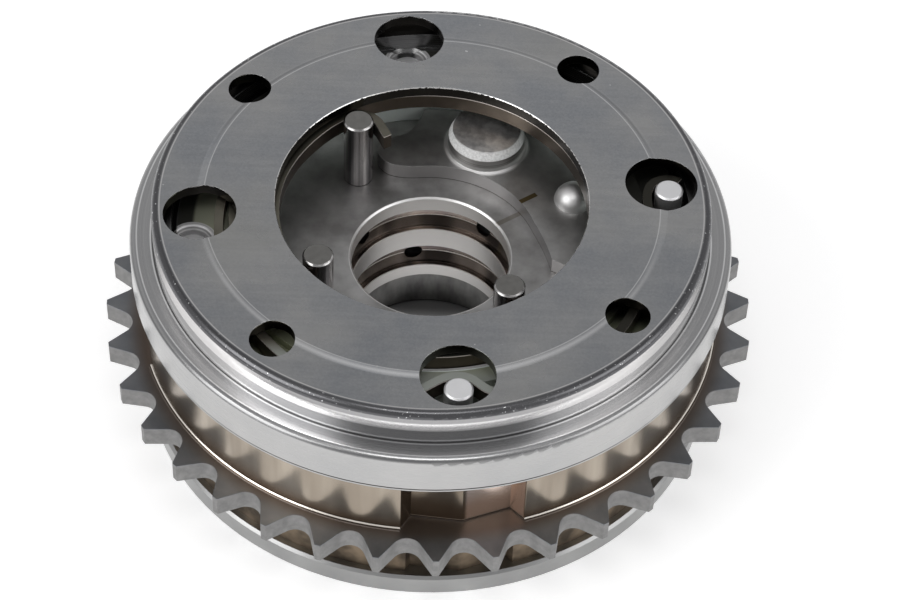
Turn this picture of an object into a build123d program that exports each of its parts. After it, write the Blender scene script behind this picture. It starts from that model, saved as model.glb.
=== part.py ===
from build123d import *
import math
import os

# Cam phaser: a sprocket driven by the timing chain turns a housing, and oil pressure turns a
# four-vane rotor inside it, so the camshaft runs early or late. A drawn cup on the front holds a
# flat spiral spring that pulls the rotor back to its locked angle.
#
# Millimetres. The origin is on the axis at the rear face, +Z points to the front cup, and angles
# run counter-clockwise from +X as seen from the front.

# Chain wheel
chain_pitch = 9.525
roller_diameter = 5.08
seat_clearance = 0.05
tooth_tip_rise = 1.96
tooth_tip_width = 1.0
wheel_rise = 4.34
tooth_angle = 273.2
sprocket_rear_z = 13.7
sprocket_thickness = 4.0

# Stack of housing plates, from the rear face forwards
rear_cover_thickness = 4.0
rear_cover_inset = 0.2
rear_cover_chamfer = 0.5
stator_height = 25.3
front_cover_thickness = 8.0
front_cover_overhang = 1.2
front_cover_edge_radius = 1.2
front_lip_height = 0.5
front_lip_inset = 0.15
front_groove_height = 0.3
front_groove_depth = 0.6
front_hole_inset = 2.2
spring_land_width = 3.1

# Stator walls, pockets and shoes
rear_wall_step = 1.7
wall_foot_radius = 0.5
wheel_web_overlap = 1.0
stator_wall = 6.3
shoe_count = 4
shoe_angle = 8.0
shoe_width_deg = 26.0
pocket_offset_deg = 0.4
pocket_width_deg = 23.6
pocket_floor_width_deg = 20.0
pocket_edge_depth = 2.9
pocket_ridge_depth = 1.65

# Rotor
running_clearance = 0.05
vane_height = 8.0
travel_deg = 35.0
stop_clearance_deg = 0.15
hub_face_inset = 5.0
hub_face_rise = 0.35
sector_rise = 3.0
sector_clearance = 0.7
sector_width = 14.3
bore_diameter = 27.5
bore_chamfer = 0.3
counterbore_step = 2.0
counterbore_front_z = 9.65
spigot_wall = 4.75
rear_recess = 0.5
groove_depth = 1.4
groove_front_depth = 3.0
groove_width = 5.0
groove_pitch = 9.35
oil_hole_diameter = 3.0
oil_hole_clearance_deg = 3.2
front_oil_hole_lean_deg = 0.0
rear_oil_hole_lean_deg = -17.7

# Lock pin, its boss and the bush it drops into
boss_angle = 69.9
boss_margin = 0.15
boss_top_diameter = 12.0
boss_side_diameter = 13.5
boss_height = 4.1
boss_chamfer_height = 1.6
boss_foot_radius = 1.0
lock_pin_diameter = 8.0
lock_pin_length = 14.0
lock_pin_tip_diameter = 6.0
lock_pin_tip_height = 2.0
lock_pin_tip_taper = 0.15
lock_pin_bore = 5.6
lock_pin_wall = 6.0
pocket_roof = 2.2
lock_bush_wall = 1.75
lock_bush_clearance = 0.1
lock_bush_web = 0.7
pin_spring_clearance = 0.2
pin_spring_wire = 0.7
pin_spring_turns = 9

# Front pins and the pressed ball of the rotor
rotor_pin_diameter = 5.2
rotor_pin_inset = 4.1
rotor_pin_angles = (126.0, 216.0, 306.0)
rotor_pin_top_drop = 0.5
rotor_pin_seat_depth = 9.0
pin_end_chamfer = 0.3
ball_diameter = 7.0
ball_inset = 5.7
ball_angle = 26.0
ball_seat_drop = 0.4

# Seals of vanes and shoes
seal_thickness = 2.4
seal_slot_clearance = 0.05
seal_height = 3.2
seal_end_clearance = 0.1
shoe_seal_offset_deg = 8.2
leaf_space = 0.5
leaf_thickness = 0.3
leaf_slack = 0.02
leaf_width = 2.0
leaf_end_margin = 3.15

# Screws through the housing
screw_circle_inset = 3.2
screw_diameter = 6.0
screw_head_diameter = 11.6
screw_head_recess = 0.2
screw_head_clearance = 0.05
screw_hole_clearance = 0.3
screw_socket_across = 4.0
screw_socket_depth = 2.2
tap_clearance = 0.02
tap_mouth_depth = 0.68
screw_end_drop = 1.3
screw_end_chamfer = 0.5
post_diameter = 4.8
post_rise = 5.3
plain_screw_steps = (1, 2)
post_screw_steps = (0, 3)

# Drawn cup over the spring
cup_height = 6.7
cup_inset = 2.8
cup_sheet = 2.0
cup_bend_radius = 1.2
cup_raised = 0.3
cup_slope_inset = 7.6
cup_slope_width = 1.2
cup_opening_clearance = 1.1
cup_large_hole_diameter = 12.4
cup_large_hole_inset = 8.2
cup_small_hole_diameter = 7.5
cup_small_hole_inset = 6.4
cup_edge_break = 0.15
spigot_ring_height = 3.2
spigot_ring_wall = 1.3

# Flat spiral return spring
strip_thickness = 1.5
strip_height = 3.0
strip_rise = 1.5
strip_pin_clearance = 0.2
strip_post_room = 9.2
strip_even_sweep_deg = 1038.0
strip_step_deg = 25.0

# Dowel that sets the rear cover to the stator
dowel_diameter = 2.5
dowel_angle = 53.0
dowel_depth = 6.0

# Radii that follow, counted outwards from the rotor's bore to the chain
bore_radius = bore_diameter / 2
counterbore_radius = bore_radius + counterbore_step
spigot_radius = counterbore_radius + spigot_wall
lock_bush_bore = lock_pin_tip_diameter / 2 + lock_pin_tip_taper + lock_bush_clearance
lock_bush_radius = lock_bush_bore + lock_bush_wall
boss_axis_radius = spigot_radius + lock_bush_web + lock_bush_radius
sector_outer_radius = boss_axis_radius + boss_side_diameter / 2 + boss_margin
sector_inner_radius = sector_outer_radius - sector_width
rotor_pin_radius = sector_inner_radius + rotor_pin_inset
ball_axis_radius = sector_outer_radius - ball_inset
front_hole_radius = sector_outer_radius + sector_clearance
hub_radius = front_hole_radius + front_hole_inset
hub_face_radius = hub_radius - hub_face_inset
chamber_radius = hub_radius + vane_height
vane_radius = chamber_radius - running_clearance
screw_circle_radius = chamber_radius - screw_circle_inset
wall_radius = chamber_radius + stator_wall
rear_wall_radius = wall_radius - rear_wall_step
rear_cover_radius = wall_radius - rear_cover_inset
front_cover_radius = wall_radius + front_cover_overhang
cup_radius = wall_radius - cup_inset
cup_opening_radius = rotor_pin_radius + rotor_pin_diameter / 2 + cup_opening_clearance
dowel_axis_radius = (chamber_radius + rear_wall_radius) / 2
tooth_count = round(2 * math.pi * (wall_radius + wheel_rise) / chain_pitch)
pitch_radius = chain_pitch / (2 * math.sin(math.pi / tooth_count))
tip_radius = pitch_radius + tooth_tip_rise
seat_radius = roller_diameter / 2 + seat_clearance
seal_slot_width = seal_thickness + 2 * seal_slot_clearance
seal_slot_depth = seal_height + leaf_space + leaf_thickness
screw_hole_radius = screw_diameter / 2 + screw_hole_clearance
tap_radius = screw_diameter / 2 + tap_clearance
around_pin = rotor_pin_diameter / 2 + strip_pin_clearance + strip_thickness / 2
around_post = post_diameter / 2 + strip_thickness / 2

# Heights that follow
sprocket_front_z = sprocket_rear_z + sprocket_thickness
stator_rear_z = rear_cover_thickness
stator_front_z = stator_rear_z + stator_height
ledge_z = stator_front_z + front_cover_thickness
cup_top_z = ledge_z + cup_height
strip_rear_z = ledge_z + strip_rise
post_top_z = ledge_z + post_rise
rotor_pin_top_z = cup_top_z - rotor_pin_top_drop
rotor_rear_z = stator_rear_z + running_clearance
rotor_front_z = stator_front_z - running_clearance
hub_face_z = rotor_front_z + hub_face_rise
sector_z = hub_face_z + sector_rise
boss_top_z = sector_z + boss_height

# Angles that follow
shoe_step_deg = 360 / shoe_count
shoe_end_deg = shoe_angle + shoe_width_deg / 2
vane_width_deg = shoe_step_deg - shoe_width_deg - travel_deg - 2 * stop_clearance_deg
vane_angle = shoe_end_deg + travel_deg + stop_clearance_deg + vane_width_deg / 2


def polar(radius, angle, height=0.0):
    """A point given by its distance from the axis, its angle and its height."""
    turn = math.radians(angle)
    return Vector(radius * math.cos(turn), radius * math.sin(turn), height)


def turned(points):
    """A solid turned about the axis from (radius, height) corners."""
    outline = Polyline([(radius, 0, height) for radius, height in points], close=True)
    return revolve(make_face(outline), Axis.Z)


def disc(radius, rear, front, centre=(0, 0)):
    """A plain round solid between two heights."""
    return Pos(centre[0], centre[1], rear) * Cylinder(
        radius, front - rear, align=(Align.CENTER, Align.CENTER, Align.MIN)
    )


def cone(rear_radius, front_radius, rear, front, centre=(0, 0)):
    """A tapered round solid between two heights."""
    return Pos(centre[0], centre[1], rear) * Cone(
        rear_radius, front_radius, front - rear, align=(Align.CENTER, Align.CENTER, Align.MIN)
    )


def block(points, rear, front):
    """A prism between two heights over an outline of plane points."""
    outline = Polyline([(point.X, point.Y) for point in points], close=True)
    return Pos(0, 0, rear) * extrude(make_face(outline), front - rear)


def sector_band(inner, outer, middle, width, rear, front):
    """A ring segment with radial sides, centred on one angle."""
    first = middle - width / 2
    last = middle + width / 2
    edges = [
        Line(polar(inner, first), polar(outer, first)),
        ThreePointArc(polar(outer, first), polar(outer, middle), polar(outer, last)),
        Line(polar(outer, last), polar(inner, last)),
        ThreePointArc(polar(inner, last), polar(inner, middle), polar(inner, first)),
    ]
    return Pos(0, 0, rear) * extrude(make_face(edges), front - rear)


def shoe_angles():
    """The angles of the shoes, which carry the screws."""
    return [shoe_angle + step * shoe_step_deg for step in range(shoe_count)]


def vane_angles():
    """The angles of the vanes at rest."""
    return [vane_angle + step * shoe_step_deg for step in range(shoe_count)]


def tooth_gap(angle):
    """The outline of one gap of the chain wheel: a roller seat between two straight flanks."""
    half_gap = math.pi / tooth_count - math.asin(tooth_tip_width / 2 / tip_radius)
    corner_side = tip_radius * math.sin(half_gap)
    corner_rise = tip_radius * math.cos(half_gap) - pitch_radius
    reach = math.hypot(corner_side, corner_rise)
    tangent = math.atan2(corner_rise, corner_side) - math.acos(seat_radius / reach)
    side = seat_radius * math.cos(tangent)
    rise = seat_radius * math.sin(tangent)
    clear = corner_rise + tooth_tip_rise
    edges = [
        ThreePointArc((-side, rise), (0, -seat_radius), (side, rise)),
        Line((side, rise), (corner_side, corner_rise)),
        Line((corner_side, corner_rise), (corner_side, clear)),
        Line((corner_side, clear), (-corner_side, clear)),
        Line((-corner_side, clear), (-corner_side, corner_rise)),
        Line((-corner_side, corner_rise), (-side, rise)),
    ]
    return Rot(0, 0, angle - 90) * Pos(0, pitch_radius, 0) * make_face(edges)


def chain_wheel():
    """The toothed disc of the stator."""
    gap_angle = 360 / tooth_count
    blank = make_face(CenterArc((0, 0), tip_radius, 0, 360))
    gaps = [tooth_gap(tooth_angle + (step + 0.5) * gap_angle) for step in range(tooth_count)]
    outline = blank.cut(*gaps)
    return Pos(0, 0, sprocket_rear_z) * extrude(outline, sprocket_thickness)


def outer_pocket(angle, rear, front):
    """A weight-saving pocket outside a shoe: slanted ends and a floor of two flats."""
    mouth = pocket_width_deg / 2
    floor = pocket_floor_width_deg / 2
    outside = wall_radius + 2 * pocket_edge_depth
    points = [
        polar(outside, angle - mouth),
        polar(wall_radius, angle - mouth),
        polar(wall_radius - pocket_edge_depth, angle - floor),
        polar(wall_radius - pocket_ridge_depth, angle),
        polar(wall_radius - pocket_edge_depth, angle + floor),
        polar(wall_radius, angle + mouth),
        polar(outside, angle + mouth),
    ]
    return block(points, rear, front)


def slot_block(angle, inner, outer, width, rear, front):
    """A straight radial slot or bar of one width."""
    bar = Box(outer - inner, width, front - rear, align=(Align.MIN, Align.CENTER, Align.MIN))
    return Rot(0, 0, angle) * Pos(inner, 0, rear) * bar


def stator_sprocket():
    """One sintered piece: chain wheel, chamber ring and four shoes."""
    body = turned(
        [
            (chamber_radius, stator_rear_z),
            (rear_wall_radius, stator_rear_z),
            (rear_wall_radius, sprocket_rear_z + wheel_web_overlap),
            (wall_radius + wall_foot_radius, sprocket_rear_z + wheel_web_overlap),
            (wall_radius + wall_foot_radius, sprocket_front_z),
            (wall_radius, sprocket_front_z + wall_foot_radius),
            (wall_radius, stator_front_z),
            (chamber_radius, stator_front_z),
        ]
    )
    body += chain_wheel() - disc(rear_wall_radius - wheel_web_overlap, sprocket_rear_z, sprocket_front_z)
    for angle in shoe_angles():
        shoe = sector_band(
            hub_radius + running_clearance,
            chamber_radius + stator_wall / 4,
            angle,
            shoe_width_deg,
            stator_rear_z,
            stator_front_z,
        )
        body += shoe
        middle = angle + pocket_offset_deg
        body -= outer_pocket(middle, sprocket_front_z, stator_front_z)
        body -= outer_pocket(middle, stator_rear_z, sprocket_rear_z)
    for angle in shoe_angles():
        centre = polar(screw_circle_radius, angle)
        body -= disc(screw_hole_radius, stator_rear_z, stator_front_z, (centre.X, centre.Y))
        slot = slot_block(
            angle + shoe_seal_offset_deg,
            hub_radius - seal_height,
            hub_radius + running_clearance + seal_slot_depth,
            seal_slot_width,
            stator_rear_z,
            stator_front_z,
        )
        body -= slot
    dowel = polar(dowel_axis_radius, dowel_angle)
    body -= disc(
        dowel_diameter / 2, stator_rear_z, stator_rear_z + dowel_depth, (dowel.X, dowel.Y)
    )
    return body


def rear_cover():
    """Machined disc that closes the chambers at the rear and carries the screw heads."""
    radius = rear_cover_radius
    bore = spigot_radius + running_clearance
    body = turned(
        [
            (bore, 0),
            (radius, 0),
            (radius, rear_cover_thickness - rear_cover_chamfer),
            (radius - rear_cover_chamfer, rear_cover_thickness),
            (bore, rear_cover_thickness),
        ]
    )
    for angle in shoe_angles():
        centre = polar(screw_circle_radius, angle)
        place = (centre.X, centre.Y)
        head_radius = screw_head_diameter / 2
        sink_z = screw_head_recess + head_radius - screw_hole_radius
        body -= disc(screw_hole_radius, 0, rear_cover_thickness, place)
        body -= disc(head_radius, 0, screw_head_recess, place)
        body -= cone(head_radius, screw_hole_radius, screw_head_recess, sink_z, place)
    bush = polar(boss_axis_radius, boss_angle)
    body -= disc(lock_bush_radius, 0, rear_cover_thickness, (bush.X, bush.Y))
    dowel = polar(dowel_axis_radius, dowel_angle)
    body -= disc(dowel_diameter / 2, 0, rear_cover_thickness, (dowel.X, dowel.Y))
    return body


def lock_bush():
    """Hardened ring in the rear cover that the lock pin drops into."""
    bush = polar(boss_axis_radius, boss_angle)
    place = (bush.X, bush.Y)
    body = disc(lock_bush_radius, 0, rear_cover_thickness, place)
    body -= disc(lock_bush_bore, 0, rear_cover_thickness, place)
    return body


def cover_dowel():
    """Pin that sets the rear cover to the stator."""
    dowel = polar(dowel_axis_radius, dowel_angle)
    return disc(dowel_diameter / 2, 0, stator_rear_z + dowel_depth, (dowel.X, dowel.Y))


def front_cover():
    """Machined disc with the polished rim, a ledge for the cup and a land for the spring."""
    outer = front_cover_radius
    hole = front_hole_radius
    land = front_hole_radius + spring_land_width
    lip = outer - front_lip_inset
    groove = outer - front_groove_depth
    lip_z = stator_front_z + front_lip_height
    band_z = lip_z + front_groove_height
    ring_outer = cup_radius - cup_sheet
    ring_inner = ring_outer - spigot_ring_wall
    ring_z = ledge_z + spigot_ring_height
    body = turned(
        [
            (hole, stator_front_z),
            (lip - front_lip_inset, stator_front_z),
            (lip, stator_front_z + front_lip_inset),
            (lip, lip_z),
            (groove, lip_z),
            (groove, band_z),
            (outer, band_z),
            (outer, ledge_z),
            (ring_outer, ledge_z),
            (ring_outer, ring_z),
            (ring_inner, ring_z),
            (ring_inner, ledge_z),
            (land, ledge_z),
            (land, strip_rear_z),
            (hole, strip_rear_z),
        ]
    )
    rim = [
        edge
        for edge in body.edges().filter_by(GeomType.CIRCLE)
        if abs(edge.radius - outer) < 0.01 and abs(edge.center().Z - ledge_z) < 0.01
    ]
    body = fillet(rim, front_cover_edge_radius)
    for angle in shoe_angles():
        centre = polar(screw_circle_radius, angle)
        place = (centre.X, centre.Y)
        mouth_radius = tap_radius + tap_mouth_depth
        body -= disc(tap_radius, stator_front_z, ledge_z, place)
        body -= cone(tap_radius, mouth_radius, ledge_z - tap_mouth_depth, ledge_z, place)
    return body


def housing_screw(angle, post):
    """Countersunk screw from the rear. A post screw ends in a plain tail that holds the spring."""
    centre = polar(screw_circle_radius, angle)
    place = (centre.X, centre.Y)
    radius = screw_diameter / 2
    head_radius = screw_head_diameter / 2 - screw_head_clearance
    head_z = screw_head_recess + screw_head_clearance
    end_z = ledge_z - screw_end_drop
    body = disc(radius, head_z, end_z - screw_end_chamfer, place)
    body += cone(head_radius, radius, head_z, head_z + head_radius - radius, place)
    body += cone(radius, radius - screw_end_chamfer, end_z - screw_end_chamfer, end_z, place)
    socket = RegularPolygon(screw_socket_across / 2, 6, major_radius=False)
    recess = extrude(Pos(centre.X, centre.Y, head_z) * socket, screw_socket_depth)
    body -= recess
    if post:
        tail = post_diameter / 2
        body += disc(tail, end_z - screw_end_chamfer, post_top_z - pin_end_chamfer, place)
        body += cone(tail, tail - pin_end_chamfer, post_top_z - pin_end_chamfer, post_top_z, place)
    return body


def spring_cover():
    """Drawn sheet cup with a raised inner field, a wide opening and eight holes."""
    outer = cup_radius
    inner = outer - cup_sheet
    opening = cup_opening_radius
    slope_outer = outer - cup_slope_inset
    slope_inner = slope_outer - cup_slope_width
    under_z = cup_top_z - cup_sheet
    body = turned(
        [
            (inner, ledge_z),
            (outer, ledge_z),
            (outer, cup_top_z),
            (slope_outer, cup_top_z),
            (slope_inner, cup_top_z + cup_raised),
            (opening, cup_top_z + cup_raised),
            (opening, under_z + cup_raised),
            (slope_inner, under_z + cup_raised),
            (slope_outer, under_z),
            (inner, under_z),
        ]
    )
    rim = [
        edge
        for edge in body.edges().filter_by(GeomType.CIRCLE)
        if abs(edge.radius - outer) < 0.01 and abs(edge.center().Z - cup_top_z) < 0.01
    ]
    body = fillet(rim, cup_bend_radius)
    opening_rim = [
        edge
        for edge in body.edges().filter_by(GeomType.CIRCLE)
        if abs(edge.radius - opening) < 0.01 and edge.center().Z > cup_top_z
    ]
    body = chamfer(opening_rim, cup_edge_break)
    for angle in shoe_angles():
        large = polar(outer - cup_large_hole_inset, angle)
        small = polar(outer - cup_small_hole_inset, angle + shoe_step_deg / 2)
        front_z = cup_top_z + cup_sheet
        body -= disc(cup_large_hole_diameter / 2, strip_rear_z, front_z, (large.X, large.Y))
        body -= disc(cup_small_hole_diameter / 2, strip_rear_z, front_z, (small.X, small.Y))
    return body


def sector_outline():
    """The raised sector of the rotor's front face: a flared right end and a lobed left end."""
    outer = sector_outer_radius
    inner = sector_inner_radius
    right_end = boss_angle - 80.2
    left_end = boss_angle + 24.1
    arc_start = boss_angle - 50.0
    arc_end = boss_angle + 30.0

    def inside(share, angle):
        """A point that lies a share of the sector's width out from its inner edge."""
        return polar(inner + share * sector_width, boss_angle + angle)

    lobe = [
        inside(0.0, 30.0),
        inside(0.05, 38.3),
        inside(0.15, 43.5),
        inside(0.26, 45.2),
        inside(0.38, 45.1),
        inside(0.50, 41.6),
        inside(0.55, 36.5),
        inside(0.58, 31.9),
        inside(0.68, 28.3),
        inside(1.0, 24.1),
    ]
    corner = inside(0.16, -76.7)
    shoulder = inside(0.34, -79.1)
    edges = [
        ThreePointArc(polar(outer, right_end), polar(outer, boss_angle), polar(outer, left_end)),
        Spline(lobe[::-1]),
        ThreePointArc(polar(inner, arc_end), polar(inner, boss_angle), polar(inner, arc_start)),
        Spline([polar(inner, arc_start), inside(0.065, -64.9), corner]),
        Line(corner, shoulder),
        Line(shoulder, polar(outer, right_end)),
    ]
    return make_face(edges)


def oil_groove(front):
    """A ring groove in the bore with a shallow vee at its middle."""
    rear = front - groove_width
    middle = (front + rear) / 2
    points = [
        (bore_radius - groove_depth, front),
        (bore_radius + groove_depth * 0.6, front),
        (bore_radius + groove_depth, middle),
        (bore_radius + groove_depth * 0.6, rear),
        (bore_radius - groove_depth, rear),
    ]
    return turned(points)


def lock_pocket():
    """The blind hole that the lock pin slides in, open to the rear."""
    place = polar(boss_axis_radius, boss_angle)
    return disc(
        lock_pin_diameter / 2 + running_clearance,
        rotor_rear_z,
        boss_top_z - pocket_roof,
        (place.X, place.Y),
    )


def rotor():
    """Sintered rotor: hub, four vanes, a raised sector with the lock boss, and the grooved bore."""
    body = turned(
        [
            (counterbore_radius, rear_recess),
            (spigot_radius, rear_recess),
            (spigot_radius, rotor_rear_z),
            (hub_radius, rotor_rear_z),
            (hub_radius, rotor_front_z),
            (hub_face_radius, rotor_front_z),
            (hub_face_radius, hub_face_z),
            (bore_radius + bore_chamfer, hub_face_z),
            (bore_radius, hub_face_z - bore_chamfer),
            (bore_radius, counterbore_front_z),
            (counterbore_radius, counterbore_front_z),
        ]
    )
    for angle in vane_angles():
        body += sector_band(
            front_hole_radius, vane_radius, angle, vane_width_deg, rotor_rear_z, rotor_front_z
        )
    sector_root = rotor_front_z - hub_face_rise
    body += Pos(0, 0, sector_root) * extrude(sector_outline(), sector_z - sector_root)
    body += lock_boss()
    for step in range(2):
        body -= oil_groove(hub_face_z - groove_front_depth - step * groove_pitch)
    body -= lock_pocket()
    for angle in vane_angles():
        body -= slot_block(
            angle,
            vane_radius - seal_slot_depth,
            vane_radius + seal_height,
            seal_slot_width,
            rotor_rear_z,
            rotor_front_z,
        )
        side = vane_width_deg / 2 + oil_hole_clearance_deg
        body -= oil_hole(angle - side, front_oil_hole_lean_deg, 0)
        body -= oil_hole(angle + side, rear_oil_hole_lean_deg, 1)
    for angle in rotor_pin_angles:
        seat = polar(rotor_pin_radius, angle)
        floor = hub_face_z - rotor_pin_seat_depth
        body -= disc(rotor_pin_diameter / 2, floor, sector_z, (seat.X, seat.Y))
    ball = polar(ball_axis_radius, ball_angle, sector_z - ball_seat_drop)
    body -= Pos(ball) * Sphere(ball_diameter / 2)
    return body


def lock_boss():
    """Round boss over the lock pin, with a tall chamfer and a widening foot."""
    place = polar(boss_axis_radius, boss_angle)
    side = boss_side_diameter / 2
    foot = boss_foot_radius
    root_z = sector_z - foot
    profile = [
        (0, root_z),
        (side + foot, root_z),
        (side + foot, sector_z),
        (side + foot * 0.3, sector_z + foot * 0.3),
        (side, sector_z + foot),
        (side, boss_top_z - boss_chamfer_height),
        (boss_top_diameter / 2, boss_top_z),
        (0, boss_top_z),
    ]
    boss = Pos(place.X, place.Y, 0) * turned(profile)
    field = disc(sector_outer_radius, root_z, boss_top_z)
    field -= disc(sector_inner_radius, root_z, boss_top_z)
    return boss & field


def oil_hole(outer_angle, lean, groove):
    """Drilling from a bore groove out to the chamber beside a vane, leaning by an angle."""
    height = hub_face_z - groove_front_depth - groove * groove_pitch - groove_width / 2
    inside = polar(bore_radius - bore_chamfer, outer_angle - lean, height)
    outside = polar(hub_radius + oil_hole_diameter / 2, outer_angle, height)
    run = outside - inside
    drill = Circle(oil_hole_diameter / 2)
    return extrude(Plane(origin=inside, z_dir=run) * drill, run.length)


def rotor_pin(angle):
    """Ground pin pressed into the rotor's front face."""
    place = polar(rotor_pin_radius, angle)
    centre = (place.X, place.Y)
    radius = rotor_pin_diameter / 2
    floor = hub_face_z - rotor_pin_seat_depth
    body = disc(radius, floor, rotor_pin_top_z - pin_end_chamfer, centre)
    top = rotor_pin_top_z
    body += cone(radius, radius - pin_end_chamfer, top - pin_end_chamfer, top, centre)
    return body


def oil_plug_ball():
    """Steel ball pressed into the rotor's face, which closes an oil drilling."""
    ball = polar(ball_axis_radius, ball_angle, sector_z - ball_seat_drop)
    return Pos(ball) * Sphere(ball_diameter / 2)


def lock_pin():
    """Hollow pin with a tapered tip, just clear of the rear cover."""
    place = polar(boss_axis_radius, boss_angle)
    centre = (place.X, place.Y)
    tip_z = rotor_rear_z
    side = lock_pin_diameter / 2
    tip = lock_pin_tip_diameter / 2
    profile = [
        (0, tip_z),
        (tip, tip_z),
        (tip + lock_pin_tip_taper, tip_z + lock_pin_tip_height),
        (side, tip_z + lock_pin_tip_height),
        (side, tip_z + lock_pin_length),
        (lock_pin_bore / 2, tip_z + lock_pin_length),
        (lock_pin_bore / 2, tip_z + lock_pin_wall),
        (0, tip_z + lock_pin_wall),
    ]
    return Pos(centre[0], centre[1], 0) * turned(profile)


def lock_pin_spring():
    """Coil spring between the lock pin's bore and the roof of its hole."""
    place = polar(boss_axis_radius, boss_angle)
    wire = pin_spring_wire / 2
    floor = rotor_rear_z + lock_pin_wall + wire
    roof = boss_top_z - pocket_roof - wire
    radius = lock_pin_bore / 2 - pin_spring_clearance - wire
    coil = Helix(pitch=(roof - floor) / pin_spring_turns, height=roof - floor, radius=radius)
    section = Plane(origin=coil @ 0, z_dir=coil % 0) * Circle(wire)
    return Pos(place.X, place.Y, floor) * sweep(section, path=coil)


def leaf_spring(angle, inner):
    """Bowed leaf behind a seal, standing along the axis between two radii."""
    half = stator_height / 2 - leaf_end_margin
    middle_z = stator_rear_z + stator_height / 2
    low = inner + leaf_slack
    high = inner + leaf_space - leaf_slack
    edges = [
        ThreePointArc((low, 0, middle_z - half), (high, 0, middle_z), (low, 0, middle_z + half)),
        Line((low, 0, middle_z + half), (low + leaf_thickness, 0, middle_z + half)),
        ThreePointArc(
            (low + leaf_thickness, 0, middle_z + half),
            (high + leaf_thickness, 0, middle_z),
            (low + leaf_thickness, 0, middle_z - half),
        ),
        Line((low + leaf_thickness, 0, middle_z - half), (low, 0, middle_z - half)),
    ]
    leaf = extrude(make_face(edges), leaf_width / 2, dir=(0, 1, 0), both=True)
    return Rot(0, 0, angle) * leaf


def vane_seal(angle):
    """Seal bar in the tip of a vane, rounded to the chamber wall."""
    bar = slot_block(
        angle,
        vane_radius - seal_height,
        vane_radius + seal_thickness,
        seal_thickness,
        stator_rear_z + seal_end_clearance,
        stator_front_z - seal_end_clearance,
    )
    return bar & disc(chamber_radius - running_clearance / 2, stator_rear_z, stator_front_z)


def shoe_seal(angle):
    """Seal bar in the tip of a shoe, hollowed to the rotor hub."""
    bar = slot_block(
        angle + shoe_seal_offset_deg,
        hub_radius - seal_thickness,
        hub_radius + running_clearance + seal_height,
        seal_thickness,
        stator_rear_z + seal_end_clearance,
        stator_front_z - seal_end_clearance,
    )
    return bar - disc(hub_radius + running_clearance / 2, stator_rear_z, stator_front_z)


def beside_pin(turn, distance):
    """A point of the strip round the first rotor pin, by its turn from the pin's outer side."""
    angle = rotor_pin_angles[0]
    return polar(rotor_pin_radius, angle) + polar(distance * around_pin, angle + turn)


def beside_post(step, outwards, onwards):
    """A point of the strip beside a spring post, in shares of the strip's distance from its axis."""
    angle = shoe_angle + step * shoe_step_deg
    out = polar(outwards * around_post, angle)
    return polar(screw_circle_radius, angle) + out + polar(onwards * around_post, angle + 90)


def strip_middle_points():
    """Centre line of the strip: inner hook, even turns, wide turns held by the posts, outer hook."""
    first_radius = rotor_pin_radius + around_pin
    inner_hook = [
        beside_pin(-145.0, 1.54),
        beside_pin(-131.0, 1.26),
        beside_pin(-110.0, 1.10),
        beside_pin(-80.0, 1.02),
        beside_pin(-50.0, 1.00),
        beside_pin(-22.0, 1.00),
        beside_pin(0.0, 1.00),
    ]
    count = round(strip_even_sweep_deg / strip_step_deg)
    last_radius = screw_circle_radius - strip_post_room
    growth_per_step = (last_radius - first_radius) / count
    turn_per_step = strip_even_sweep_deg / count
    first_angle = rotor_pin_angles[0] + 14.0
    even_turns = [
        polar(first_radius + growth_per_step * index, first_angle + turn_per_step * index)
        for index in range(count + 1)
    ]
    last_angle = first_angle + strip_even_sweep_deg

    def wide_turn(places):
        """Points by their angle after the even turns and their share of the room to the posts."""
        return [
            polar(last_radius + share * strip_post_room, last_angle + along) for along, share in places
        ]

    to_first_post = wide_turn(
        (
            (45.0, 0.11),
            (90.0, 0.23),
            (135.0, 0.18),
            (180.0, 0.11),
            (225.0, 0.13),
            (270.0, 0.17),
            (315.0, 0.20),
            (360.0, 0.23),
            (405.0, 0.34),
            (450.0, 0.50),
            (472.0, 0.69),
            (484.0, 0.84),
            (495.0, 0.99),
            (505.0, 1.12),
            (514.0, 1.20),
            (520.0, 1.21),
            (525.0, 1.15),
        )
    )
    behind_first_post = [
        beside_post(post_screw_steps[1], -0.44, -1.72),
        beside_post(post_screw_steps[1], -0.75, -1.18),
        beside_post(post_screw_steps[1], -0.97, -0.70),
        beside_post(post_screw_steps[1], -1.08, 0.12),
        beside_post(post_screw_steps[1], -0.68, 0.93),
        beside_post(post_screw_steps[1], 0.01, 1.55),
    ]
    to_second_post = wide_turn(
        (
            (549.5, 1.12),
            (553.0, 1.18),
            (559.0, 1.21),
            (567.0, 1.18),
            (575.0, 1.11),
            (583.0, 1.02),
            (592.0, 0.90),
            (604.0, 0.74),
            (616.0, 0.62),
        )
    )
    outer_hook = [
        beside_post(post_screw_steps[0], -1.30, -1.27),
        beside_post(post_screw_steps[0], -1.18, 0.00),
        beside_post(post_screw_steps[0], -0.94, 0.62),
        beside_post(post_screw_steps[0], -0.51, 0.98),
        beside_post(post_screw_steps[0], 0.05, 1.08),
        beside_post(post_screw_steps[0], 0.44, 1.01),
        beside_post(post_screw_steps[0], 0.70, 0.84),
    ]
    wide_turns = to_first_post + behind_first_post + to_second_post
    return inner_hook + even_turns + wide_turns + outer_hook


def return_spring():
    """Flat spiral spring from the first rotor pin out to the spring posts."""
    middle = Spline(strip_middle_points())
    samples = 400
    half = strip_thickness / 2
    left = []
    right = []
    for index in range(samples + 1):
        along = index / samples
        here = middle @ along
        run = middle % along
        side = Vector(-run.Y, run.X) * half
        left.append(here + side)
        right.append(here - side)
    edges = [
        Spline(left),
        Line(left[-1], right[-1]),
        Spline(right[::-1]),
        Line(right[0], left[0]),
    ]
    return Pos(0, 0, strip_rear_z) * extrude(make_face(edges), strip_height)


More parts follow.
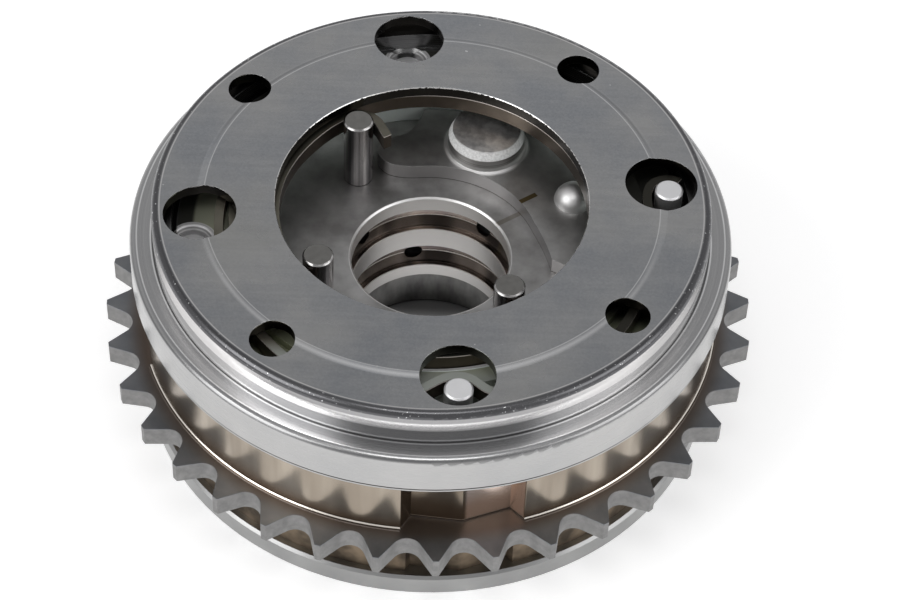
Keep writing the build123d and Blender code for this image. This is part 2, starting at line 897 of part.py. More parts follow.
def all_parts():
    """Every sub-part by its node name."""
    parts = {
        "spring_cover": spring_cover(),
        "front_cover": front_cover(),
        "stator_sprocket": stator_sprocket(),
        "rear_cover": rear_cover(),
        "lock_bush": lock_bush(),
        "cover_dowel": cover_dowel(),
        "return_spring": return_spring(),
        "rotor": rotor(),
        "oil_plug_ball": oil_plug_ball(),
        "lock_pin": lock_pin(),
        "lock_pin_spring": lock_pin_spring(),
    }
    for number, step in enumerate(plain_screw_steps, 1):
        parts[f"housing_screw_{number}"] = housing_screw(shoe_angles()[step], post=False)
    for number, step in enumerate(post_screw_steps, 1):
        parts[f"spring_post_screw_{number}"] = housing_screw(shoe_angles()[step], post=True)
    for number, angle in enumerate(rotor_pin_angles, 1):
        parts[f"rotor_pin_{number}"] = rotor_pin(angle)
    for number, angle in enumerate(vane_angles(), 1):
        parts[f"vane_seal_{number}"] = vane_seal(angle)
        parts[f"vane_seal_spring_{number}"] = leaf_spring(angle, vane_radius - seal_slot_depth)
    for number, angle in enumerate(shoe_angles(), 1):
        shoe_leaf = leaf_spring(
            angle + shoe_seal_offset_deg, hub_radius + running_clearance + seal_height
        )
        parts[f"shoe_seal_{number}"] = shoe_seal(angle)
        parts[f"shoe_seal_spring_{number}"] = shoe_leaf
    return parts


os.makedirs("parts", exist_ok=True)
for name, shape in all_parts().items():
    export_step(shape, f"parts/{name}.step")
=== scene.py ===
# %% [markdown]
# # A cam phaser on a white sweep
#
# A cam phaser turns an engine's camshaft a little against its chain wheel. The imported model holds
# every piece in its place. The pieces could be modelled again here, but then they would no longer
# be the imported ones, so this script only gives them their finishes, sets the light and places the
# camera. The frame is in metres: +Z runs along the axis to the front cup, and the piece lies on its
# rear face at height zero.

# %% Load the frame
import math

import bmesh
import bpy
from mathutils import Matrix, Vector


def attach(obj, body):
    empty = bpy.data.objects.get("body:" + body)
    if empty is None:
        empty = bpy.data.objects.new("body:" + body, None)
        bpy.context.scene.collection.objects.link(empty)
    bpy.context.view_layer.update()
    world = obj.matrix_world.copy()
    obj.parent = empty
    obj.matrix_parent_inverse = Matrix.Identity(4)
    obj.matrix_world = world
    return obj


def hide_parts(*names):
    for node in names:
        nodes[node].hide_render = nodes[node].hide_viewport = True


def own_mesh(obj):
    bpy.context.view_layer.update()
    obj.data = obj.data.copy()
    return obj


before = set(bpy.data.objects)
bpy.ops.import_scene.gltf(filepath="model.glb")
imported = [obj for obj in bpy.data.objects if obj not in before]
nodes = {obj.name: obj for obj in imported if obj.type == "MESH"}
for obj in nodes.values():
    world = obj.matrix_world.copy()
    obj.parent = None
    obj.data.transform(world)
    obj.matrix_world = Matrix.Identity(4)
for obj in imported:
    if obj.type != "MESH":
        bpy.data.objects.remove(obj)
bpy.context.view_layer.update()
MM = 0.001

# %% [markdown]
# ## Heights and radii where a finish changes
#
# One real piece often shows several finishes, such as a bright wall with a brown foot. They could
# be painted on an image, but then every face would need a place on that image. Here the colour
# asks instead how far a point is from the axis and how high it lies. These are the sizes of the
# part that more than one cell asks for.

# %% Sizes in metres
CUP_TOP = 44.0 * MM
CUP_RADIUS = 47.5 * MM
LEDGE_HEIGHT = 37.3 * MM
SECTOR_FACE = 32.6 * MM
HUB_FACE = 29.6 * MM
BOSS_CENTRE = (9.004 * MM, 24.604 * MM)
print(f"the cup stands from {LEDGE_HEIGHT / MM:.1f} to {CUP_TOP / MM:.1f} mm")

# %% [markdown]
# ## A helper that wires nodes
#
# Every finish is a Principled shader with colour, roughness and relief driven by other nodes. The
# nodes could be wired by hand in the editor, or by long lines of code. A small class keeps each
# one to a short line. Its first layer makes the material and does sums.


# %% The wiring
class Wiring:
    """One material's node tree, with sums."""

    def __init__(self, name):
        self.material = bpy.data.materials.new(name)
        self.material.use_nodes = True
        self.tree = self.material.node_tree
        self.shader = self.tree.nodes["Principled BSDF"]
        self.place = self.tree.nodes.new("ShaderNodeTexCoord").outputs["Object"]
        split = self.tree.nodes.new("ShaderNodeSeparateXYZ")
        self.tree.links.new(self.place, split.inputs[0])
        self.x, self.y, self.z = split.outputs

    def put(self, socket, value):
        """Links an output to a socket, or sets the socket's own value."""
        if isinstance(value, bpy.types.NodeSocket):
            self.tree.links.new(value, socket)
        elif isinstance(value, tuple) and len(value) == 3 and len(socket.default_value) == 4:
            socket.default_value = (*value, 1.0)
        else:
            socket.default_value = value

    def node(self, kind, *values):
        """Makes a node and fills its first sockets."""
        made = self.tree.nodes.new(kind)
        for socket, value in zip(made.inputs, values):
            self.put(socket, value)
        return made

    def math(self, operation, first, second=0.0):
        made = self.node("ShaderNodeMath", first, second)
        made.operation = operation
        return made.outputs[0]

    def times(self, first, second):
        """A product. For two masks it is the place that both of them cover."""
        return self.math("MULTIPLY", first, second)


print("made: put, node, math, times")

# %% [markdown]
# ## Where a point lies
#
# Turned and pressed pieces are round, so their finishes change with the distance from an axis, and
# sometimes with the angle about it. Blender gives only x, y and z. The second layer works the rest
# out once, and keeps it for the next line that asks.


# %% Distance and angle
class Places(Wiring):
    """Adds the distance from an axis and the angle about it."""

    def __init__(self, name):
        super().__init__(name)
        self._radius = None
        self._angle = None

    def away_from(self, centre):
        """Distance from an upright axis through a plane point."""
        aside = self.math("SUBTRACT", self.x, centre[0])
        along = self.math("SUBTRACT", self.y, centre[1])
        squares = self.math("ADD", self.times(aside, aside), self.times(along, along))
        return self.math("SQRT", squares)

    @property
    def radius(self):
        """Distance from the part's own axis."""
        if self._radius is None:
            self._radius = self.away_from((0.0, 0.0))
        return self._radius

    @property
    def angle(self):
        """Angle about the part's own axis, from -pi to pi."""
        if self._angle is None:
            self._angle = self.math("ARCTAN2", self.y, self.x)
        return self._angle


print("made: away_from, radius, angle")

# %% [markdown]
# ## Masks
#
# A mask is 1 where a finish shows and 0 elsewhere. Some masks follow a size of the part, others
# follow noise, which stands in for grain, clouds and the rings of a lathe. Noise could come from
# an image too, but made noise has no seams and stays sharp from near by.


# %% Masks from sizes and from noise
class Masks(Places):
    """Adds steps, bands and noise."""

    def step(self, value, low, high):
        """Rises smoothly from 0 at low to 1 at high. It falls where low is above high."""
        made = self.tree.nodes.new("ShaderNodeMapRange")
        made.interpolation_type = "SMOOTHSTEP"
        self.put(made.inputs["Value"], value)
        made.inputs["From Min"].default_value = min(low, high)
        made.inputs["From Max"].default_value = max(low, high)
        made.inputs["To Min"].default_value = 0.0 if low < high else 1.0
        made.inputs["To Max"].default_value = 1.0 if low < high else 0.0
        return made.outputs["Result"]

    def band(self, value, low, high, soft):
        """One between low and high, with soft edges."""
        up = self.step(value, low - soft, low + soft)
        down = self.step(value, high + soft, high - soft)
        return self.times(up, down)

    def spread(self, value, low=0.35, high=0.65):
        """Stretches a value so that low becomes 0 and high becomes 1, cut off outside."""
        made = self.tree.nodes.new("ShaderNodeMapRange")
        self.put(made.inputs["Value"], value)
        made.inputs["From Min"].default_value = low
        made.inputs["From Max"].default_value = high
        return made.outputs["Result"]

    def noise(self, scale, detail=3.0, roughness=0.5, where=None, stretch=None):
        """Noise from 0 to 1 at so many cells for each metre."""
        where = where or self.place
        if stretch:
            mapping = self.node("ShaderNodeMapping", where)
            mapping.inputs["Scale"].default_value = stretch
            where = mapping.outputs["Vector"]
        made = self.tree.nodes.new("ShaderNodeTexNoise")
        self.put(made.inputs["Vector"], where)
        made.inputs["Scale"].default_value = scale
        made.inputs["Detail"].default_value = detail
        made.inputs["Roughness"].default_value = roughness
        return made.outputs["Fac"]

    def lines(self, scale, across):
        """Fine rings left by a lathe: noise that changes along one value only."""
        along = self.node("ShaderNodeCombineXYZ", across, 0.0, 0.0).outputs[0]
        return self.noise(scale, 2.0, 0.6, where=along)


print("made: step, band, spread, noise, lines")

# %% [markdown]
# ## Colours and relief
#
# The last layer lays one colour over another through a mask, and turns grain into relief. Relief
# could be real geometry, but grain this fine would need millions of faces, so a Bump node only
# tilts the shading. A Bevel node under it softens hard edges, which catch light on real metal.

# %% Mixing, relief and the end of a material
EDGE_SOFTENING = 0.12 * MM


class Graph(Masks):
    """Adds colours, relief and the shader's own sockets."""

    def mix(self, amount, first, second):
        """Blends two colours."""
        made = self.tree.nodes.new("ShaderNodeMix")
        made.data_type = "RGBA"
        self.put(made.inputs["Factor"], amount)
        self.put(made.inputs[6], first)
        self.put(made.inputs[7], second)
        return made.outputs[2]

    def blend(self, amount, first, second):
        """Blends two numbers."""
        made = self.tree.nodes.new("ShaderNodeMix")
        made.data_type = "FLOAT"
        self.put(made.inputs["Factor"], amount)
        self.put(made.inputs[2], first)
        self.put(made.inputs[3], second)
        return made.outputs[0]

    def bump(self, height, depth, strength):
        """Turns a 0 to 1 height into a relief of a real depth, over softened edges."""
        bevel = self.tree.nodes.new("ShaderNodeBevel")
        bevel.samples = 4
        bevel.inputs["Radius"].default_value = EDGE_SOFTENING
        made = self.tree.nodes.new("ShaderNodeBump")
        self.tree.links.new(bevel.outputs["Normal"], made.inputs["Normal"])
        self.put(made.inputs["Strength"], strength)
        made.inputs["Distance"].default_value = depth
        self.put(made.inputs["Height"], height)
        self.put(self.shader.inputs["Normal"], made.outputs["Normal"])

    def finish(self, colour, roughness, metallic=1.0):
        self.put(self.shader.inputs["Base Color"], colour)
        self.put(self.shader.inputs["Roughness"], roughness)
        self.put(self.shader.inputs["Metallic"], metallic)
        return self.material


print(f"edges softened over {EDGE_SOFTENING / MM:.2f} mm")

# %% [markdown]
# ## Giving a finish to pieces
#
# Every piece is an object with a mesh, and the mesh keeps a list of materials. A finish could be
# added to that list, but the first one in it is the one that shows, so the list is emptied before.
# Like pieces have numbered names, such as rotor_pin_1 to rotor_pin_3.


# %% Dressing pieces
def dress(material, *names):
    """Gives pieces one material."""
    for name in names:
        mesh = nodes[name].data
        mesh.materials.clear()
        mesh.materials.append(material)
    print(f"{material.name}: pieces {len(names)}, nodes {len(material.node_tree.nodes)}")


def numbered(stem, count):
    """The names of a row of like pieces."""
    return [f"{stem}_{index}" for index in range(1, count + 1)]


print(numbered("rotor_pin", 3))

# %% [markdown]
# ## The cup's rolled sheet
#
# The cup over the return spring is pressed from rolled steel sheet. The photograph shows it mid
# grey, with faint blue-grey and olive clouds, rolling lines, fine grain and some bright specks. A
# photograph of sheet could be laid on it. Layers of noise are used instead, each one faint,
# because they also run on down the walls of its holes.


# %% Sheet metal
def sheet_colour(g, clouds, grain):
    rolled = g.noise(900.0, 3.0, 0.6, stretch=(0.05, 1.0, 1.0))
    colour = g.mix(g.spread(clouds), (0.345, 0.36, 0.38), (0.44, 0.44, 0.435))
    colour = g.mix(g.times(g.spread(grain, 0.3, 0.7), 0.26), colour, (0.56, 0.56, 0.57))
    colour = g.mix(g.times(g.spread(rolled, 0.62, 0.38), 0.12), colour, (0.22, 0.225, 0.24))
    olive = g.spread(g.noise(28.0, 3.0, 0.5), 0.55, 0.75)
    colour = g.mix(g.times(olive, 0.35), colour, (0.36, 0.355, 0.32))
    specks = g.step(g.noise(700.0, 1.0, 0.5), 0.79, 0.83)
    return g.mix(g.times(specks, 0.7), colour, (0.95, 0.95, 0.95))


print("made: clouds, grain, rolling lines, olive clouds, specks")

# %% [markdown]
# ## The cup's slope and its bend
#
# The middle of the cup's top is pressed up a little, and a narrow slope runs round it. The slope
# is painted lighter in front as light and darker behind as shade, with a painted highlight line on
# its inner side. At the outer edge the sheet bends down, painted dark as shade with painted glints,
# and a painted highlight crest runs round inside the bend. The shapes are in the model. These
# masks only sharpen their tones, which finer meshes and more lamps could do too, but more slowly.

# %% The slope and the bend
COIN_OUTER = 39.9 * MM
COIN_INNER = 38.7 * MM


def slope_light_and_shade(g, colour):
    slope = g.band(g.radius, COIN_INNER + 0.3 * MM, COIN_OUTER - 0.3 * MM, 0.32 * MM)
    # Painted light on the front of the slope.
    painted_light_front = g.times(g.step(g.y, -4.0 * MM, -24.0 * MM), 0.75)
    colour = g.mix(g.times(slope, painted_light_front), colour, (0.72, 0.72, 0.725))
    # Painted shade on the back of the slope.
    back = g.times(slope, g.step(g.y, 4.0 * MM, 20.0 * MM))
    colour = g.mix(g.times(back, 0.55), colour, (0.16, 0.16, 0.165))
    # A painted highlight line along the slope's inner edge.
    line = g.band(g.radius, COIN_INNER - 0.16 * MM, COIN_INNER + 0.02 * MM, 0.05 * MM)
    return g.mix(g.times(line, 0.55), colour, (0.90, 0.90, 0.90))


def bend_shade_and_glints(g, colour):
    near_edge = g.step(g.radius, CUP_RADIUS - 1.5 * MM, CUP_RADIUS - 1.0 * MM)
    bend = g.times(near_edge, g.step(g.z, CUP_TOP - 1.3 * MM, CUP_TOP - 1.0 * MM))
    painted_glints = g.step(g.noise(2100.0, 2.0, 0.6), 0.66, 0.74)
    # The bend is painted dark as shade, with painted glints.
    colour = g.mix(bend, colour, g.mix(painted_glints, (0.12, 0.12, 0.125), (0.85, 0.85, 0.85)))
    # A painted highlight crest runs inside the bend.
    crest_highlight = g.band(g.radius, CUP_RADIUS - 1.55 * MM, CUP_RADIUS - 1.32 * MM, 0.06 * MM)
    crest_highlight = g.times(crest_highlight, g.step(g.z, CUP_TOP - 0.3 * MM, CUP_TOP - 0.2 * MM))
    return g.mix(g.times(crest_highlight, 0.6), colour, (0.92, 0.90, 0.89))


print(f"slope: {(COIN_OUTER - COIN_INNER) / MM:.1f} mm wide")

# %% [markdown]
# ## The cup's skirt
#
# The upright wall of the cup is smoother than its top. A grey strip under the bend, a bright belt
# and a grey foot are painted reflections. Two wide patches, at the front left and the front right,
# are painted sheen: brighter, and less of a mirror. Lamps alone could make them, but lamps as
# strong as that also burn out the top, so the sheen is painted.

# %% The skirt's masks and colours
LEFT_PAINTED_SHEEN = (math.radians(-164), math.radians(-126), math.radians(10))
RIGHT_PAINTED_SHEEN = (math.radians(-60), math.radians(-18), math.radians(12))


def skirt_masks(g):
    """The skirt, the two patches, and the foot."""
    under_bend = g.step(g.z, CUP_TOP - 1.0 * MM, CUP_TOP - 1.25 * MM)
    outside = g.step(g.radius, CUP_RADIUS - 1.0 * MM, CUP_RADIUS - 0.6 * MM)
    # The two patches are painted sheen.
    left = g.band(g.angle, *LEFT_PAINTED_SHEEN)
    right = g.times(g.band(g.angle, *RIGHT_PAINTED_SHEEN), 0.9)
    painted_sheen = g.math("MAXIMUM", left, right)
    # The foot, whose grey is a painted reflection of the ledge.
    low = g.step(g.z, LEDGE_HEIGHT + 2.95 * MM, LEDGE_HEIGHT + 2.7 * MM)
    return g.times(under_bend, outside), painted_sheen, g.times(low, g.blend(painted_sheen, 1.0, 0.5))


def skirt_painted_reflections(g, painted_sheen, low):
    # Painted reflections: a grey strip under the bend, a bright belt, the bright patches and a grey
    # foot.
    reflected_belt = g.step(g.z, LEDGE_HEIGHT + 4.8 * MM, LEDGE_HEIGHT + 4.3 * MM)
    colour = g.mix(reflected_belt, (0.36, 0.355, 0.36), (0.95, 0.94, 0.94))
    colour = g.mix(painted_sheen, colour, (0.95, 0.93, 0.92))
    return g.mix(low, colour, (0.38, 0.38, 0.385))


print(f"left patch: {math.degrees(LEFT_PAINTED_SHEEN[1] - LEFT_PAINTED_SHEEN[0]):.0f} degrees wide")
print(f"right patch: {math.degrees(RIGHT_PAINTED_SHEEN[1] - RIGHT_PAINTED_SHEEN[0]):.0f} degrees wide")

# %% [markdown]
# ## The walls of the cup's holes
#
# The wall of a hole is painted almost black below, as shade inside the hole, and bright near the
# top as a painted glint. A punch cuts sheet cleanly at first and then tears it, which gives the
# ragged border between the two. Modelling the tear would take a very fine mesh. A depth that
# wanders with noise gives the same border.

# %% Punched edges, painted shade and glints
COIN_RISE = 0.3 * MM


def hole_wall_shade_and_glints(g, colour):
    sheet_top = g.blend(g.step(g.radius, COIN_INNER, COIN_OUTER), CUP_TOP + COIN_RISE, CUP_TOP)
    depth = g.math("SUBTRACT", sheet_top, g.z)
    inward = g.step(g.radius, CUP_RADIUS - 1.4 * MM, CUP_RADIUS - 1.6 * MM)
    wall = g.times(g.step(depth, 0.05 * MM, 0.09 * MM), inward)
    # The wall is painted dark as shade, with a painted glint near the top and a ragged border.
    ragged = g.blend(g.noise(1500.0, 2.0, 0.6), -0.20 * MM, 0.55 * MM)
    glint_rim = g.step(g.math("SUBTRACT", depth, ragged), 0.02 * MM, -0.02 * MM)
    return g.mix(wall, colour, g.mix(glint_rim, (0.035, 0.032, 0.028), (0.90, 0.88, 0.86)))


print(f"middle of the cup: raised by {COIN_RISE / MM:.1f} mm")

# %% [markdown]
# ## The whole cup
#
# The cup is one piece, so it gets one material. Each zone could have its own, but then the mesh
# would have to be cut there. The layers are laid over each other instead: sheet, the slope's
# painted light and shade, the bend's painted shade and glints, the skirt's painted reflections and
# the holes' painted shade and glints. Roughness and relief follow the same noise as the colour.


# %% The cup
def drawn_sheet():
    g = Graph("drawn sheet")
    clouds = g.noise(60.0, 4.0, 0.6)
    grain = g.noise(2400.0, 2.0, 0.5)
    skirt, painted_sheen, low = skirt_masks(g)
    colour = bend_shade_and_glints(g, slope_light_and_shade(g, sheet_colour(g, clouds, grain)))
    colour = g.mix(skirt, colour, skirt_painted_reflections(g, painted_sheen, low))
    colour = hole_wall_shade_and_glints(g, colour)
    rough = g.blend(skirt, g.blend(g.spread(clouds, 0.3, 0.7), 0.20, 0.30), 0.14)
    scratches = g.noise(420.0, 2.0, 0.5, stretch=(1.0, 0.06, 1.0))
    relief = g.math("ADD", g.times(grain, 0.6), g.times(scratches, 0.4))
    g.bump(relief, 0.010 * MM, 0.6)
    # The painted sheen also mirrors less.
    satin = g.times(g.times(skirt, painted_sheen), g.blend(low, 0.85, 0.35))
    return g.finish(colour, rough, g.blend(satin, 1.0, 0.0))


dress(drawn_sheet(), "spring_cover")

# %% [markdown]
# ## The front cover's rim
#
# The front cover is a thick disc turned on a lathe. It has a polished wall, a rounding painted
# darker as shade, and a ledge that carries the cup, with painted highlights along its two bright
# edges. Turning leaves fine rings. They could be an anisotropic shader, but plain rings of noise
# are easier to steer and show well at this size.

# %% The rim and the ledge
ROUNDING_FOOT = 36.1 * MM
LEDGE_CORNER = 50.25 * MM


def rim_colour(g):
    streaks = g.noise(70.0, 3.0, 0.6)
    circles = g.spread(g.lines(2600.0, g.radius))
    colour = g.mix(g.spread(streaks, 0.3, 0.7), (0.42, 0.42, 0.42), (0.48, 0.475, 0.47))
    # The rounding keeps the lathe's rings but is painted darker as shade.
    rounding_shade = g.step(g.z, ROUNDING_FOOT + 0.55 * MM, ROUNDING_FOOT + 0.75 * MM)
    colour = g.mix(rounding_shade, colour, g.mix(circles, (0.16, 0.16, 0.165), (0.34, 0.34, 0.34)))
    ledge = g.step(g.z, LEDGE_HEIGHT - 0.25 * MM, LEDGE_HEIGHT - 0.05 * MM)
    colour = g.mix(ledge, colour, g.mix(circles, (0.36, 0.36, 0.365), (0.54, 0.54, 0.54)))
    # A painted highlight along the ledge's outer corner.
    corner_highlight = g.band(g.radius, LEDGE_CORNER - 0.10 * MM, LEDGE_CORNER + 0.10 * MM, 0.06 * MM)
    colour = g.mix(g.times(corner_highlight, ledge), colour, (0.90, 0.90, 0.90))
    # A painted highlight beside the cup's foot.
    foot = g.band(g.radius, CUP_RADIUS + 0.25 * MM, CUP_RADIUS + 0.50 * MM, 0.06 * MM)
    colour = g.mix(g.times(foot, ledge), colour, (0.92, 0.92, 0.92))
    joint = g.step(g.radius, CUP_RADIUS + 0.22 * MM, CUP_RADIUS + 0.16 * MM)
    return g.mix(joint, colour, (0.16, 0.16, 0.16))


print(f"ledge: {(LEDGE_CORNER - CUP_RADIUS) / MM:.2f} mm wide")

# %% [markdown]
# ## The front cover under the cup
#
# Through the cup's holes the floor of the front cover shows, almost black at the back and olive
# grey at the front and the left, where light comes in. Real light would do this by itself with
# many more bounces and samples. Steps of colour give it at once. The mouths of the two holes with
# plain screws are bright turned rings.

# %% The floor and the mouths
PLAIN_SCREWS = ((-5.678 * MM, 40.403 * MM), (-40.403 * MM, -5.678 * MM))
MOUTH_RADIUS = 4.2 * MM


def floor_colour(g):
    near_left = g.step(g.x, -22.0 * MM, -28.0 * MM)
    left_panel = g.times(g.step(g.radius, 41.0 * MM, 40.2 * MM), near_left)
    colour = g.mix(left_panel, (0.035, 0.035, 0.03), (0.34, 0.35, 0.27))
    colour = g.mix(g.step(g.y, -18.0 * MM, -24.0 * MM), colour, (0.42, 0.44, 0.30))
    return g.mix(g.step(g.y, -31.0 * MM, -36.0 * MM), colour, (0.50, 0.53, 0.48))


def screw_mouths(g, inside, colour):
    for centre in PLAIN_SCREWS:
        off = g.away_from(centre)
        mouth = g.step(off, MOUTH_RADIUS + 0.1 * MM, MOUTH_RADIUS - 0.1 * MM)
        rings = g.spread(g.lines(3200.0, off))
        bright = g.mix(rings, (0.20, 0.20, 0.20), (0.95, 0.94, 0.95))
        colour = g.mix(g.times(mouth, inside), colour, bright)
    return colour


print(f"mouths: {2 * MOUTH_RADIUS / MM:.1f} mm wide")

# %% [markdown]
# ## The whole front cover
#
# Here the rim and the floor come together with the pale wall of the central hole and the dark seam
# over the stator. A mirror in a closed space only shows the dark, so the floor is rough and only
# half metal, and the wall of the hole is hardly metal at all. A lamp under the cup could light
# them instead, but the real one has none.

# %% The front cover
SEAM_HEIGHT = 29.95 * MM
HOLE_RADIUS = 33.8 * MM


def polished_cover():
    g = Graph("polished cover")
    inside = g.step(g.radius, 43.6 * MM, 43.2 * MM)
    colour = g.mix(inside, rim_colour(g), floor_colour(g))
    colour = screw_mouths(g, inside, colour)
    hole = g.step(g.radius, HOLE_RADIUS + 0.30 * MM, HOLE_RADIUS + 0.10 * MM)
    colour = g.mix(hole, colour, (0.86, 0.93, 0.89))
    seam = g.band(g.z, SEAM_HEIGHT - 0.17 * MM, SEAM_HEIGHT + 0.27 * MM, 0.04 * MM)
    seam = g.times(seam, g.step(g.radius, 50.0 * MM, 50.5 * MM))
    colour = g.mix(seam, colour, (0.07, 0.065, 0.06))
    lines = g.lines(5200.0, g.z)
    rough = g.blend(inside, g.blend(g.spread(lines), 0.20, 0.30), 0.50)
    g.bump(lines, 0.004 * MM, 0.5)
    return g.finish(colour, rough, g.blend(inside, 1.0, g.blend(hole, 0.5, 0.10)))


dress(polished_cover(), "front_cover")

# %% [markdown]
# ## The rear cover
#
# The rear cover is a plain turned disc with a satin edge. It could have as many layers as the
# front one, but only its edge shows, so one grey with slight clouds and the lathe's rings is
# enough.


# %% The rear cover
def turned_cover():
    g = Graph("turned cover")
    colour = g.mix(g.spread(g.noise(90.0), 0.3, 0.7), (0.30, 0.30, 0.30), (0.38, 0.38, 0.375))
    g.bump(g.lines(3000.0, g.z), 0.008 * MM, 0.6)
    return g.finish(colour, 0.30)


dress(turned_cover(), "rear_cover")

# %% [markdown]
# ## The stator's upper wall
#
# The stator is one piece with the chain wheel, made of pressed and sintered iron powder. Its upper
# wall has the straw tint of heated steel, and it turns brown towards its foot. Its four pockets
# are painted darker as shade, and the flat on the right of each one is painted lighter as light.
# The fillet at the foot is painted dark as shade, with a thin painted highlight line along it.
# Every flat could have a mask of its own. A sine of four times the angle finds all of them at once.

# %% The straw wall
SPROCKET_FRONT = 17.7 * MM
WALL_RADIUS = 50.3 * MM
POCKETS = 4
POCKET_RIDGE = math.radians(8.4)


def straw_wall(g):
    streaks = g.noise(260.0, 2.0, 0.5, stretch=(1.0, 1.0, 0.12))
    colour = g.mix(g.spread(streaks), (0.30, 0.255, 0.205), (0.42, 0.365, 0.30))
    foot = g.step(g.z, SPROCKET_FRONT + 2.5 * MM, SPROCKET_FRONT)
    colour = g.mix(g.times(foot, 0.6), colour, (0.17, 0.12, 0.085))
    # The pockets are painted darker as shade.
    pocket_shade = g.step(g.radius, WALL_RADIUS - 0.05 * MM, WALL_RADIUS - 0.30 * MM)
    colour = g.mix(g.times(pocket_shade, 0.6), colour, (0.16, 0.125, 0.09))
    # The right flat of each pocket is painted lighter as light.
    turned = g.math("SUBTRACT", g.times(g.angle, float(POCKETS)), POCKETS * POCKET_RIDGE)
    right_flat_light = g.times(g.step(g.math("SINE", turned), 0.02, 0.08), pocket_shade)
    colour = g.mix(right_flat_light, colour, (0.97, 0.80, 0.70))
    # The fillet is painted dark as shade, with a painted highlight line along it.
    line = g.band(g.z, SPROCKET_FRONT + 0.30 * MM, SPROCKET_FRONT + 0.48 * MM, 0.04 * MM)
    fillet_shade = g.step(g.z, SPROCKET_FRONT + 0.55 * MM, SPROCKET_FRONT + 0.50 * MM)
    return g.mix(fillet_shade, colour, g.mix(line, (0.06, 0.045, 0.035), (0.90, 0.84, 0.76)))


print(f"wall: {WALL_RADIUS / MM:.1f} mm from the axis")

# %% [markdown]
# ## The chain wheel and the whole stator
#
# The wheel's face is blue-grey and browner near the hub, its flanks are matt, and the wall below
# it is bronze, painted dark as the shade under the wheel. The zones could be separate materials on
# separate faces, but their borders would be hard. Masks from the height let each tone run softly
# into the next.

# %% The stator
SPROCKET_REAR = 13.7 * MM
ROOT_RADIUS = 52.1 * MM


def wheel_colour(g, blobs, flank):
    colour = g.mix(g.spread(blobs, 0.3, 0.7), (0.17, 0.18, 0.195), (0.245, 0.25, 0.26))
    near_hub = g.step(g.radius, ROOT_RADIUS + 1.8 * MM, WALL_RADIUS)
    colour = g.mix(g.times(near_hub, 0.8), colour, (0.14, 0.105, 0.08))
    matt = g.mix(g.noise(700.0, 3.0, 0.6), (0.15, 0.15, 0.15), (0.34, 0.335, 0.33))
    return g.mix(flank, colour, matt)


def sintered_stator():
    g = Graph("sintered stator")
    blobs = g.noise(170.0, 3.0, 0.55)
    flank = g.step(g.z, SPROCKET_FRONT - 0.05 * MM, SPROCKET_FRONT - 0.25 * MM)
    above = g.step(g.z, SPROCKET_FRONT + 0.05 * MM, SPROCKET_FRONT + 0.15 * MM)
    below = g.step(g.z, SPROCKET_REAR, SPROCKET_REAR - 0.3 * MM)
    colour = g.mix(above, wheel_colour(g, blobs, flank), straw_wall(g))
    # The wall below the wheel is bronze, painted dark as shade.
    shaded_bronze = g.mix(g.spread(blobs, 0.4, 0.65), (0.07, 0.055, 0.04), (0.24, 0.185, 0.13))
    colour = g.mix(below, colour, shaded_bronze)
    straw_rough = g.blend(g.spread(blobs, 0.3, 0.7), 0.18, 0.25)
    rough = g.blend(above, g.blend(flank, 0.38, 0.50), straw_rough)
    g.bump(g.noise(2600.0, 2.0, 0.6), 0.010 * MM, g.blend(above, 0.7, 0.10))
    return g.finish(colour, rough)


dress(sintered_stator(), "stator_sprocket")

# %% [markdown]
# ## The rotor's faces
#
# The rotor carries the vanes and turns the camshaft. Its hub face and its raised sector are satin
# and cloudy, with a dark line where the wall between them meets the hub face. The line is painted
# shade in a sharp corner, a thin dark band at that height.


# %% The faces
def face_colour(g):
    clouds = g.noise(120.0, 4.0, 0.6)
    colour = g.mix(g.spread(clouds), (0.27, 0.265, 0.26), (0.47, 0.465, 0.46))
    wall = g.band(g.z, HUB_FACE + 0.15 * MM, SECTOR_FACE - 0.10 * MM, 0.05 * MM)
    colour = g.mix(wall, colour, (0.42, 0.41, 0.41))
    # Painted shade in the corner at the foot of the sector's wall.
    crevice_shade = g.band(g.z, HUB_FACE + 0.03 * MM, HUB_FACE + 0.16 * MM, 0.03 * MM)
    return g.mix(crevice_shade, colour, (0.06, 0.055, 0.05))


print(f"sector: {(SECTOR_FACE - HUB_FACE) / MM:.1f} mm above the hub face")

# %% [markdown]
# ## The rotor's boss
#
# The round boss houses the lock pin. Its wall shows turned rings and a light foot, its chamfer is
# grainy and painted bright as a highlight, and its top is mottled. The three could be told apart by
# their faces' normals, but those are smoothed at the edges. The distance from the boss's own centre
# and the height are exact.

# %% The boss
BOSS_TOP_RADIUS = 6.05 * MM


def boss_colour(g, grain, chamfer, high):
    ringed = g.spread(g.lines(3600.0, g.z))
    wall = g.mix(ringed, (0.22, 0.215, 0.21), (0.52, 0.51, 0.50))
    # The chamfer is painted bright as a highlight.
    grainy_highlight = g.mix(g.spread(grain), (0.76, 0.76, 0.75), (1.0, 1.0, 0.99))
    colour = g.mix(high, wall, grainy_highlight)
    foot = g.step(g.z, SECTOR_FACE + 1.0 * MM, SECTOR_FACE + 0.7 * MM)
    colour = g.mix(foot, colour, (0.72, 0.71, 0.70))
    patches = g.spread(g.noise(420.0, 4.0, 0.6))
    mottled = g.mix(patches, (0.50, 0.495, 0.50), (0.95, 0.94, 0.93))
    return g.mix(chamfer, mottled, colour)


print(f"boss: {2 * BOSS_TOP_RADIUS / MM:.1f} mm wide at the top")

# %% [markdown]
# ## The rotor's bore
#
# Oil reaches the chambers through two wide grooves in the bore. The lands beside them are bright.
# The grooves are brown, painted darker in the lower half as shade, with a painted highlight on the
# ridge at the middle, and the counterbore at the rear is mottled with painted streaks of reflection
# and shade. Selecting those faces would work too, but one step in the radius finds every land,
# because the lands lie nearer the axis.

